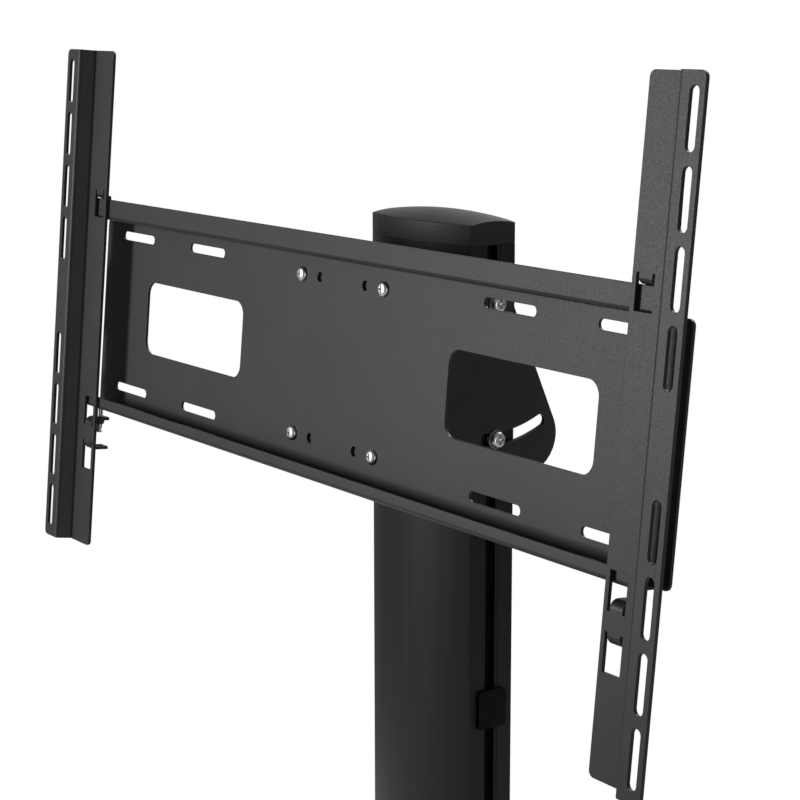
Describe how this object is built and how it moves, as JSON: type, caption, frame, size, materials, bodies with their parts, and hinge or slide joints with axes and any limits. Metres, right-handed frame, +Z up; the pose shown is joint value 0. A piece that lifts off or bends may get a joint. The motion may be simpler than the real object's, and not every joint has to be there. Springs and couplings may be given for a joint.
{
  "type": "screen floor stand",
  "caption": "Floor stand with a slotted oval column on a flat base, a height-adjustable tilting bracket and a wide tray with two hook-on screen arms.",
  "frame": {"origin": "on the floor, midway between the feet, below the column's centre", "axes": "+X to the right seen from the viewing side, -Y towards the viewer, +Z up"},
  "size_m": [0.8668, 0.5, 1.5878],
  "materials": {
    "powder_steel": "fine-textured black powder coat",
    "base_steel": "fine-textured black powder coat",
    "column_aluminium": "black satin anodised extrusion",
    "cap_plastic": "moulded black ABS, fine spark texture",
    "clip_plastic": "moulded black nylon",
    "foot_rubber": "black rubber",
    "bright_steel": "bright zinc-plated steel",
    "zinc_steel": "zinc-plated steel"
  },
  "bodies": {
    "stand": {"base_plate": "base_steel", "column_flange": "base_steel", "flange_screws": "bright_steel", "column_screws": "bright_steel", "column": "column_aluminium", "column_cap": "cap_plastic"},
    "carriage": {"pivot_nuts": "zinc_steel", "lock_nuts": "zinc_steel", "pivot_bolts": "bright_steel", "lock_bolts": "bright_steel", "pivot_washers": "zinc_steel", "lock_washers": "zinc_steel"},
    "head": {"tilt_bracket": "powder_steel", "tray": "powder_steel", "tray_screws": "bright_steel", "tray_nuts": "zinc_steel"},
    "left_arm": {"arm_left": "powder_steel"},
    "right_arm": {"arm_right": "powder_steel"},
    "left_screw": {"lock_screw_left": "bright_steel"},
    "right_screw": {"lock_screw_right": "bright_steel"},
    "left_clip": {"cable_clip_left": "clip_plastic"},
    "right_clip": {"cable_clip_right": "clip_plastic"},
    "foot_front_left": {"foot_stud_front_left": "zinc_steel", "foot_pad_front_left": "foot_rubber"},
    "foot_front_right": {"foot_stud_front_right": "zinc_steel", "foot_pad_front_right": "foot_rubber"},
    "foot_back_left": {"foot_stud_back_left": "zinc_steel", "foot_pad_back_left": "foot_rubber"},
    "foot_back_right": {"foot_stud_back_right": "zinc_steel", "foot_pad_back_right": "foot_rubber"}
  },
  "joints": [
    {"name": "height_slide", "type": "slide", "parent": "stand", "child": "carriage", "axis": [0, 0, 1], "range_m": [-0.17, 0.03]},
    {"name": "tilt_hinge", "type": "hinge", "parent": "carriage", "child": "head", "pos_m": [0, 0, 1.391], "axis": [-1, 0, 0], "range_deg": [-5.2, 24.8]},
    {"name": "left_arm_slide", "type": "slide", "parent": "head", "child": "left_arm", "axis": [1, 0, 0], "range_m": [0, 0.325]},
    {"name": "right_arm_slide", "type": "slide", "parent": "head", "child": "right_arm", "axis": [-1, 0, 0], "range_m": [0, 0.325]},
    {"name": "left_screw_travel", "type": "slide", "parent": "left_arm", "child": "left_screw", "axis": [0, 0.0906, 0.9959], "range_m": [-0.015, 0]},
    {"name": "right_screw_travel", "type": "slide", "parent": "right_arm", "child": "right_screw", "axis": [0, 0.0906, 0.9959], "range_m": [-0.015, 0]},
    {"name": "left_clip_slide", "type": "slide", "parent": "stand", "child": "left_clip", "axis": [0, 0, 1], "range_m": [-0.95, 0.15]},
    {"name": "right_clip_slide", "type": "slide", "parent": "stand", "child": "right_clip", "axis": [0, 0, 1], "range_m": [-0.95, 0.15]},
    {"name": "foot_front_left_level", "type": "slide", "parent": "stand", "child": "foot_front_left", "axis": [0, 0, 1], "range_m": [-0.012, 0]},
    {"name": "foot_front_right_level", "type": "slide", "parent": "stand", "child": "foot_front_right", "axis": [0, 0, 1], "range_m": [-0.012, 0]},
    {"name": "foot_back_left_level", "type": "slide", "parent": "stand", "child": "foot_back_left", "axis": [0, 0, 1], "range_m": [-0.012, 0]},
    {"name": "foot_back_right_level", "type": "slide", "parent": "stand", "child": "foot_back_right", "axis": [0, 0, 1], "range_m": [-0.012, 0]}
  ]
}
